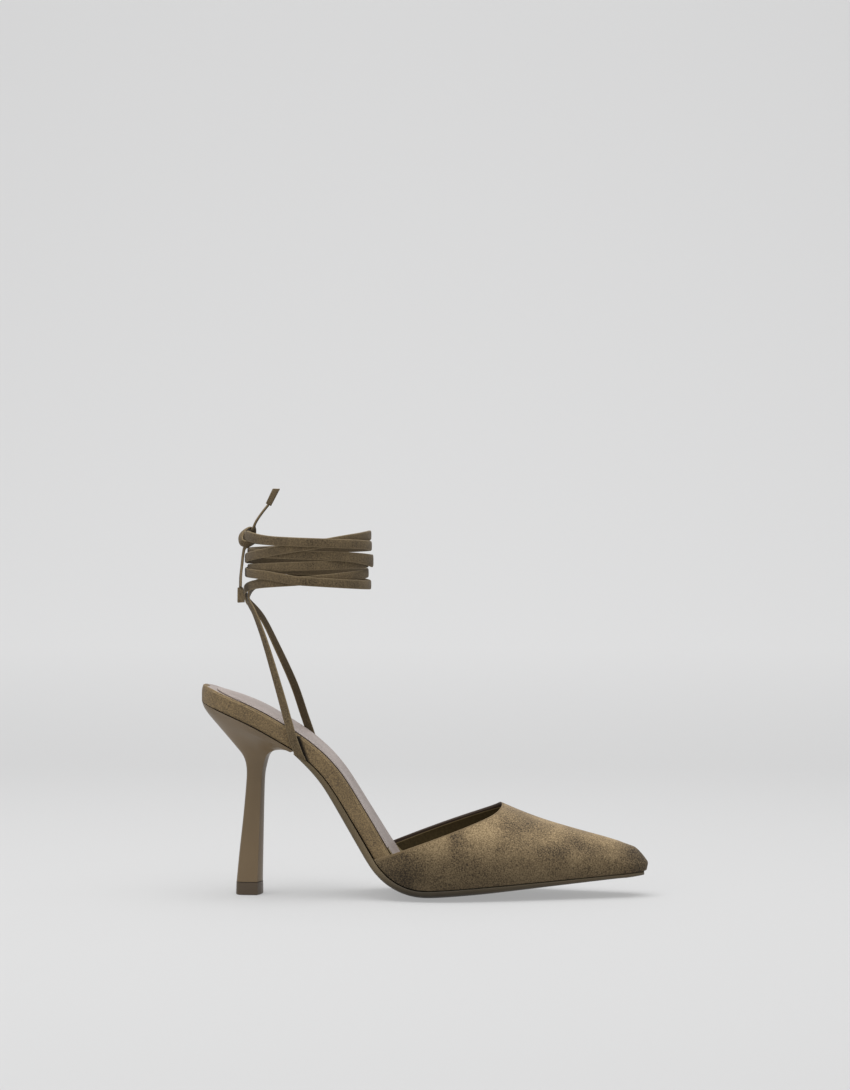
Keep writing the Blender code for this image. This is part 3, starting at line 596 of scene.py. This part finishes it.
def mark_edges(piece):
    """Marks the narrow faces of the upper edges for wear and a painted highlight, where light from above
    catches them.
    """
    shape = bmesh.new()
    shape.from_mesh(piece.data)
    values = []
    for face in shape.faces:
        turns = []
        for vert in face.verts:
            turns.append(max(math.degrees(edge.calc_face_angle(0.0)) for edge in vert.link_edges))
        length = max(edge.calc_length() for edge in face.edges)
        width = face.calc_area() / length
        # Upward-facing narrow edges catch the light: they get a painted highlight, with wear
        upper = width < min(EDGE_WIDTH * MM, length / EDGE_ASPECT) and face.normal.z > EDGE_FACING
        share = (min(turns) - EDGE_TURN_LEAST) / (EDGE_TURN_MOST - EDGE_TURN_LEAST)
        values.append(min(max(share, 0.0), 1.0) if upper else 0.0)
    shape.free()
    attribute = piece.data.attributes.new("edge_wear_and_highlight", "FLOAT", "FACE")
    attribute.data.foreach_set("value", values)


def smooth(rows, field, at):
    """The value of one column at a place along the first column, by a cubic that never overshoots."""
    ordered = rows if rows[0][0] < rows[-1][0] else rows[::-1]
    keys = [row[0] for row in ordered]
    values = [getattr(row, field) for row in ordered]
    slopes = [(b - a) / (q - p) for a, b, p, q in zip(values, values[1:], keys, keys[1:])]
    bends = [slopes[0]]
    for before, after in zip(slopes, slopes[1:]):
        bends.append(0.0 if before * after <= 0 else 2 * before * after / (before + after))
    bends.append(slopes[-1])
    i = sum(key <= at for key in keys[1:-1])
    span = keys[i + 1] - keys[i]
    t = (at - keys[i]) / span
    rise = values[i + 1] - values[i]
    cube = (bends[i] + bends[i + 1]) * span - 2 * rise
    square = 3 * rise - (2 * bends[i] + bends[i + 1]) * span
    return values[i] + t * (bends[i] * span + t * (square + t * cube))


def facing_vector(turn, rise=0.0):
    """The direction away from the ankle's axis at a turn, tilted upwards by rise."""
    level = math.cos(math.radians(rise))
    angle = math.radians(turn)
    return Vector((-math.cos(angle) * level, -math.sin(angle) * level, math.sin(math.radians(rise))))


def through(points, steps):
    """A smooth curve through points of any number of coordinates, with steps in each span."""
    ends = [2 * points[0] - points[1]] + points + [2 * points[-1] - points[-2]]
    curve = []
    for a, b, c, d in zip(ends, ends[1:], ends[2:], ends[3:]):
        for i in range(steps):
            t = i / steps
            pull = (c - a) * t + (2 * a - 5 * b + 4 * c - d) * t * t + (3 * b - a - 3 * c + d) * t**3
            curve.append(b + pull / 2)
    return curve + [points[-1]]


def tie_stops(upright, wrap):
    """Points, facings and widths of one tie, from the sole seam to where its knot starts."""
    count = math.ceil(abs(wrap[-1].turn - wrap[0].turn) / TURN_STEP)
    wound = []
    for i in range(count + 1):
        turn = wrap[0].turn + (wrap[-1].turn - wrap[0].turn) * i / count
        radius = ANKLE_RADIUS + LAYER_STEP * smooth(wrap, "layer", turn)
        place = Vector((ANKLE_X, 0, smooth(wrap, "height", turn))) + radius * facing_vector(turn)
        wound.append(Vector((*place, turn, smooth(wrap, "width", turn))))
    rising = [Vector((*row, UPRIGHT_WIDTH)) for row in upright]
    curve = through(rising + wound[:3:2], UPRIGHT_STEPS)[: len(upright) * UPRIGHT_STEPS] + wound
    return [(Vector(stop[:3]), facing_vector(stop[3]), stop[4]) for stop in curve]


def end_stops(last, route, loose):
    """Points, facings and widths of a free end that goes on from a tie's last stop."""
    place, _, width = last
    rows = [Vector((*place, width, 0))] + [Vector(row) for row in route]
    stops = []
    for row in through(rows, KNOT_STEPS):
        here = Vector(row[:3])
        flat = (here - KNOT_CENTRE).normalized()
        stops.append((here, flat.lerp(facing_vector(*loose), row[4]), row[3]))
    stops[0] = last
    return stops


def lace(name, stops, thickness, material, slant=0.0):
    """A flat lace with round edges along its stops, whose attributes tell its edges, for wear and a painted
    highlight, and its flesh side, for painted shade.
    A slanted lace is cut off at its start along the seam of the sole."""
    points = []
    faces = []
    edge_wear_and_highlight = []
    flesh_and_shade = []
    power = 2 / SECTION_SQUARENESS
    for i, (place, facing, width) in enumerate(stops):
        ahead = (stops[min(i + 1, len(stops) - 1)][0] - stops[max(i - 1, 0)][0]).normalized()
        across = ahead.cross(facing).normalized()
        out = across.cross(ahead)
        sloped = slant * max(0.0, 1 - (place - stops[0][0]).length / FOOT_RUN)
        for j in range(SECTION_POINTS):
            angle = 2 * math.pi * (j + 0.5) / SECTION_POINTS
            side = math.copysign(abs(math.cos(angle)) ** power, math.cos(angle))
            high = math.copysign(abs(math.sin(angle)) ** power, math.sin(angle))
            offset = across * side * width / 2
            cut = ahead * sloped * offset.x
            points.append((place + offset - cut + out * high * thickness / 2) * MM)
            # Both edges of the lace get wear and a painted highlight
            edge_wear_and_highlight.append(max(0.0, (abs(side) - LACE_EDGE_FROM) / LACE_EDGE_SPAN))
            # The inner side gets the flesh colour with painted shade
            flesh_and_shade.append(FLESH_SHADE if high < FLESH_SIDE else 0.0)
    last = len(points) - SECTION_POINTS
    for near in range(0, last, SECTION_POINTS):
        for j in range(SECTION_POINTS):
            nxt = (j + 1) % SECTION_POINTS
            faces.append((near + j, near + nxt, near + SECTION_POINTS + nxt, near + SECTION_POINTS + j))
    faces.append(tuple(range(SECTION_POINTS)))
    faces.append(tuple(range(last, len(points))))
    mesh = bpy.data.meshes.new(name)
    mesh.from_pydata(points, [], faces)
    for key, values in (("edge_wear_and_highlight", edge_wear_and_highlight), ("flesh_and_shade", flesh_and_shade)):
        attribute = mesh.attributes.new(key, "FLOAT", "POINT")
        attribute.data.foreach_set("value", values)
    piece = bpy.data.objects.new(name, mesh)
    bpy.context.scene.collection.objects.link(piece)
    make_active(piece)
    bpy.ops.object.mode_set(mode="EDIT")
    bpy.ops.mesh.select_all(action="SELECT")
    bpy.ops.mesh.normals_make_consistent(inside=False)
    bpy.ops.object.mode_set(mode="OBJECT")
    bpy.ops.object.shade_smooth_by_angle(angle=math.radians(CREASE_ANGLE))
    piece.data.materials.append(material)
    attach(piece, BODY)
    return piece


def tip(name, end, shape, material):
    """The pressed end of a lace: a block, broader at its far end and cut off there."""
    along = shape.far - end
    deselect()
    bpy.ops.mesh.primitive_cube_add(size=1)
    piece = bpy.context.object
    piece.name = name
    piece.data.name = name
    piece.dimensions = (shape.near_width * MM, TIP_THICKNESS * MM, along.length * MM)
    bpy.ops.object.transform_apply(location=True, rotation=True, scale=True)
    pick(piece, "VERT", lambda vert: vert.co.z > 0)
    bpy.ops.transform.resize(value=(shape.far_width / shape.near_width, 1, 1))
    for side in (-1, 1):
        pick(piece, "VERT", lambda vert: vert.co.z > 0 and vert.co.x * side > 0)
        bpy.ops.transform.translate(value=(0, 0, side * shape.cut * MM))
    bpy.ops.mesh.select_all(action="SELECT")
    bpy.ops.mesh.subdivide(number_cuts=TIP_CUTS)
    bpy.ops.object.mode_set(mode="OBJECT")
    apply_modifier(
        piece, "BEVEL", width=TIP_ROUND * MM, segments=TIP_ROUND_SEGMENTS, limit_method="ANGLE",
        angle_limit=math.radians(TIP_ROUND_ANGLE),
    )
    mark_edges(piece)
    make_active(piece)
    length = along.normalized()
    depth = (Vector((0, 1, 0)) - length * length.y).normalized()
    piece.rotation_euler = Matrix((depth.cross(length), depth, length)).transposed().to_euler()
    piece.location = (end + shape.far) / 2 * MM
    bpy.ops.object.transform_apply(location=True, rotation=True, scale=True)
    bpy.ops.object.shade_smooth_by_angle(angle=math.radians(CREASE_ANGLE))
    piece.data.materials.append(material)
    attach(piece, BODY)
    return piece


def make_ties(material, tip_material):
    """Both wound ties, and their free ends through the knot with their tips."""
    ties = (
        ("lateral_tie", "rising_lace_end", LATERAL_UPRIGHT, LATERAL_WRAP, RISING_ROUTE,
         "rising_lace_tip", RISING_TIP, ("tie_knot", "tie_end_rising"), "tie_tip_rising", RISING_FACING),
        ("medial_tie", "hanging_lace_end", MEDIAL_UPRIGHT, MEDIAL_WRAP, HANGING_ROUTE,
         "hanging_lace_tip", HANGING_TIP, ("tie_end_hanging",), "tie_tip_hanging", HANGING_FACING),
    )
    for tie_name, end_name, upright, wrap, route, tip_name, tip_end, end_nodes, tip_node, loose in ties:
        stops = tie_stops(upright, wrap)
        tie = lace(tie_name, stops, LACE_THICKNESS, material, FOOT_SLANT)
        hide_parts("ankle_ties")
        ends = end_stops(stops[-1], route, loose)
        end = lace(end_name, ends, LACE_THICKNESS, material)
        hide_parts(*end_nodes)
        block = tip(tip_name, ends[-1][0], tip_end, tip_material)
        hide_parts(tip_node)


def make_vamp(nubuck_material):
    """The vamp, dull outside and lined inside."""
    vamp = merged("upper", "vamp")
    lining = vamp_lining("Lining", facing="#43372f", piping="#88795a", light="#54482f", dark="#443923")

    def inside(face):
        """Whether a face looks towards the foot; of the tilted rim, the medial half does."""
        axis = Vector((min(face.center.x, AXIS_END_X * MM), 0, AXIS_Z * MM))
        tilted = face.normal.x < RIM_FACING and face.normal.z > RIM_LEVEL
        if tilted and face.center.z > AXIS_Z * MM:
            return face.center.y > 0
        return face.normal.dot(face.center - axis) < 0

    give(vamp, nubuck_material, lambda face: True)
    give(vamp, lining, inside)
    pick(vamp, "VERT", lambda vert: vert.co.x > NOSE_CORNER_X * MM and vert.co.z > NOSE_CORNER_Z * MM)
    bpy.ops.mesh.vertices_smooth(factor=NOSE_SMOOTHING, repeat=NOSE_ROUNDS)
    pick(vamp, "VERT", lambda vert: vert.co.x > NOSE_FRONT_X * MM and vert.co.z > AXIS_Z * MM)
    bpy.ops.transform.translate(
        value=(NOSE_FULLNESS * MM, 0, 0), use_proportional_edit=True, proportional_edit_falloff="SMOOTH",
        proportional_size=NOSE_REACH * MM,
    )
    round_off(vamp, VAMP_ROUND, VAMP_ROUND_ANGLE)


def make_footbed(nubuck_material, leather):
    """The footbed: its wrapped edge in nubuck, its top in the sock's leather."""
    footbed = merged("footbed", "wrapped_footbed")

    def on_top(face):
        level = face.normal.z > TOP_LEVEL and abs(face.normal.y) < TOP_LEAN
        return level and face.center.x > BACK_FOLD_X * MM

    give(footbed, nubuck_material, lambda face: True)
    give(footbed, leather, on_top)
    pick(footbed, "VERT", lambda vert: vert.co.x < BACK_END_X * MM and vert.co.z > BACK_MIDDLE_Z * MM)
    bpy.ops.transform.translate(value=(0, 0, -BACK_DROP * MM))
    round_off(footbed, FOOTBED_ROUND)


def make_sock(leather, thread):
    """The padded sock, and the dark stitches of the seam across it."""
    sock = merged("insole_sock", "padded_sock")
    give(sock, leather, lambda face: True)
    round_off(sock, SOCK_ROUND)
    deselect()
    bpy.ops.mesh.primitive_uv_sphere_add(segments=STITCH_SIDES, ring_count=STITCH_RINGS, radius=0.5)
    first = bpy.context.object
    first.scale = Vector((STITCH_LENGTH, STITCH_WIDTH, STITCH_HEIGHT)) * MM
    bpy.ops.object.transform_apply(location=True, rotation=True, scale=True)
    pick(first, "VERT", lambda vert: abs(vert.co.x) > STITCH_MIDDLE * STITCH_LENGTH * MM)
    bpy.ops.transform.translate(value=(0, 0, -STITCH_DIP * MM))
    bpy.ops.object.mode_set(mode="OBJECT")
    bpy.ops.object.shade_smooth()
    first.data.materials.append(thread)
    stitches = [first]
    count = int(SEAM_REACH / STITCH_STEP)
    for _ in range(2 * count):
        make_active(first)
        bpy.ops.object.duplicate()
        stitches.append(bpy.context.object)
    deselect()
    for i, stitch in enumerate(stitches):
        y = (i - count) * STITCH_STEP
        above = Vector((SEAM_X - SEAM_BEND * y * y, y, STITCH_SEARCH_Z)) * MM
        _, place, normal, _ = sock.ray_cast(above, Vector((0, 0, -1)))
        along = Vector((-2 * SEAM_BEND * y, 1, 0))
        along = (along - normal * along.dot(normal)).normalized()
        stitch.rotation_euler = Matrix((along, normal.cross(along), normal)).transposed().to_euler()
        stitch.location = place
        stitch.select_set(True)
    bpy.context.view_layer.objects.active = first
    bpy.ops.object.transform_apply(location=True, rotation=True, scale=True)
    bpy.ops.object.join()
    seam = bpy.context.object
    seam.name = "sock_stitches"
    seam.data.name = "sock_stitches"
    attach(seam, BODY)


def make_moulded(node, name, material, bevel, angle=ROUND_ANGLE):
    """A moulded piece of one material."""
    piece = merged(node, name)
    give(piece, material, lambda face: True)
    round_off(piece, bevel, angle)


def make_stage():
    """A pale floor that sweeps up into a wall."""
    deselect()
    bpy.ops.mesh.primitive_plane_add(size=FLOOR_SIZE * MM, location=(0, (WALL_Y - FLOOR_SIZE / 2) * MM, 0))
    sweep = bpy.context.object
    sweep.name = "studio_sweep"
    bpy.ops.object.transform_apply(location=True, rotation=True, scale=True)
    pick(sweep, "VERT", lambda vert: vert.co.y > (WALL_Y - 1) * MM)
    bpy.ops.mesh.extrude_region_move(TRANSFORM_OT_translate={"value": (0, 0, WALL_HEIGHT * MM)})
    bpy.ops.object.mode_set(mode="OBJECT")
    apply_modifier(
        sweep, "BEVEL", width=SWEEP_RADIUS * MM, segments=SWEEP_SEGMENTS, limit_method="ANGLE",
        angle_limit=math.radians(SWEEP_ANGLE),
    )
    make_active(sweep)
    bpy.ops.object.shade_smooth()
    material, tree, shader = start_material(
        "Lit acrylic", Roughness=0.9, Specular_IOR_Level=0.2, Emission_Color=linear("#ffffff"),
        Emission_Strength=BACKDROP_GLOW,
    )
    place = add(tree, "ShaderNodeTexCoord").outputs["Object"]
    height = add(tree, "ShaderNodeSeparateXYZ", {"Vector": place}).outputs["Z"]
    share = add(tree, "ShaderNodeMapRange", {
        "Value": height, "From Min": 0.0, "From Max": SWEEP_RADIUS * MM,
    })
    tone = add(tree, "ShaderNodeValToRGB", {"Fac": share.outputs["Result"]}, (
        (0.0, "#929292"), (SWEEP_SHADE, "#a4a4a4"),
    ))
    tree.links.new(tone.outputs["Color"], shader.inputs["Base Color"])
    sweep.data.materials.clear()
    sweep.data.materials.append(material)


def add_light(softbox):
    """A soft square light that is aimed at its target."""
    lamp = bpy.data.lights.new(softbox.name, "AREA")
    lamp.size = softbox.size
    lamp.energy = softbox.power
    lamp.color = linear(softbox.colour)[:3]
    holder = bpy.data.objects.new(softbox.name, lamp)
    holder.location = softbox.place
    aim = Vector(softbox.target) - Vector(softbox.place)
    holder.rotation_euler = aim.to_track_quat("-Z", "Y").to_euler()
    bpy.context.scene.collection.objects.link(holder)


def make_light():
    """Soft light from above and in front, with pale surroundings."""
    world = bpy.data.worlds.new("Studio")
    bpy.context.scene.world = world
    world.use_nodes = True
    background = world.node_tree.nodes["Background"]
    background.inputs["Color"].default_value = linear(WORLD_COLOUR)
    background.inputs["Strength"].default_value = WORLD_STRENGTH
    for softbox in SOFTBOXES:
        add_light(softbox)


def make_camera():
    """The photograph's view, upright and level."""
    camera = bpy.data.cameras.new("Photograph view")
    camera.sensor_fit = "VERTICAL"
    camera.sensor_height = SENSOR
    camera.lens = SENSOR * FOCAL_PIXELS / PHOTO_HEIGHT
    camera.clip_end = CAMERA_REACH * MM
    holder = bpy.data.objects.new("Photograph view", camera)
    angle = math.radians(CAMERA_AZIMUTH)
    side = Vector((math.sin(angle), -math.cos(angle), 0)) * CAMERA_DISTANCE
    holder.location = (side + Vector((0, 0, CAMERA_HEIGHT))) * MM
    holder.rotation_euler = (math.pi / 2, 0, angle)
    bpy.context.scene.collection.objects.link(holder)
    bpy.context.scene.camera = holder
    bpy.context.scene.view_settings.view_transform = "Standard"


def main():
    make_camera()
    # The vamp's nubuck gets painted shade just above the sole
    vamp_nubuck = nubuck(
        "Waxed nubuck", light="#b39c77", middle="#8a7658", dark="#4b4032", edge="#78664b",
        grain_size=0.65, cloud_size=19.0, clouding=0.7, sole_shade=0.7,
    )
    # The wrapped edge gets a painted shadow in the slit beside the near tie
    rand_nubuck = nubuck(
        "Wrapped nubuck", light="#97805e", middle="#7b694d", dark="#55483a", edge="#95815f",
        grain_size=0.6, cloud_size=17.0, clouding=0.25, slit_shadow=0.95,
    )
    lace_nubuck = nubuck(
        "Nubuck lace", light="#7d6b4e", middle="#635540", dark="#443929", edge="#88775a",
        grain_size=0.55, cloud_size=13.0, clouding=0.35,
    )
    tip_nubuck = nubuck(
        "Pressed nubuck", light="#7a6a50", middle="#675943", dark="#4b4032", edge="#8a795c",
        grain_size=0.55, cloud_size=13.0, clouding=0.2,
    )
    make_ties(lace_nubuck, tip_nubuck)
    leather = sock_leather(
        "Sock leather", light="#a89c96", dark="#988c86", fore_light="#7d6e50", fore_dark="#6c5e43"
    )
    thread = satin_plastic("Dark thread", "#3a3026", "#2c241c", roughness=0.6, lacquer=0.0)
    heel_plastic = satin_plastic("Lacquered heel plastic", "#77644a", "#6c5b43", roughness=0.45)
    top_piece_plastic = satin_plastic("Hard polyurethane", "#564939", "#4e4131", roughness=0.45)
    # The sole resin gets painted shade towards its tread
    sole_resin = satin_plastic(
        "Sole resin", "#6b5d45", "#5f523c", roughness=0.6, lacquer=0.0, stipple=0.3, tread_shade=0.2
    )
    make_vamp(vamp_nubuck)
    make_footbed(rand_nubuck, leather)
    make_sock(leather, thread)
    make_moulded("heel", "moulded_heel", heel_plastic, HEEL_ROUND)
    make_moulded(
        "heel_top_piece", "heel_tip", top_piece_plastic, TOP_PIECE_ROUND, TOP_PIECE_ROUND_ANGLE
    )
    make_moulded("outsole", "moulded_outsole", sole_resin, SOLE_ROUND)
    make_stage()
    make_light()


main()
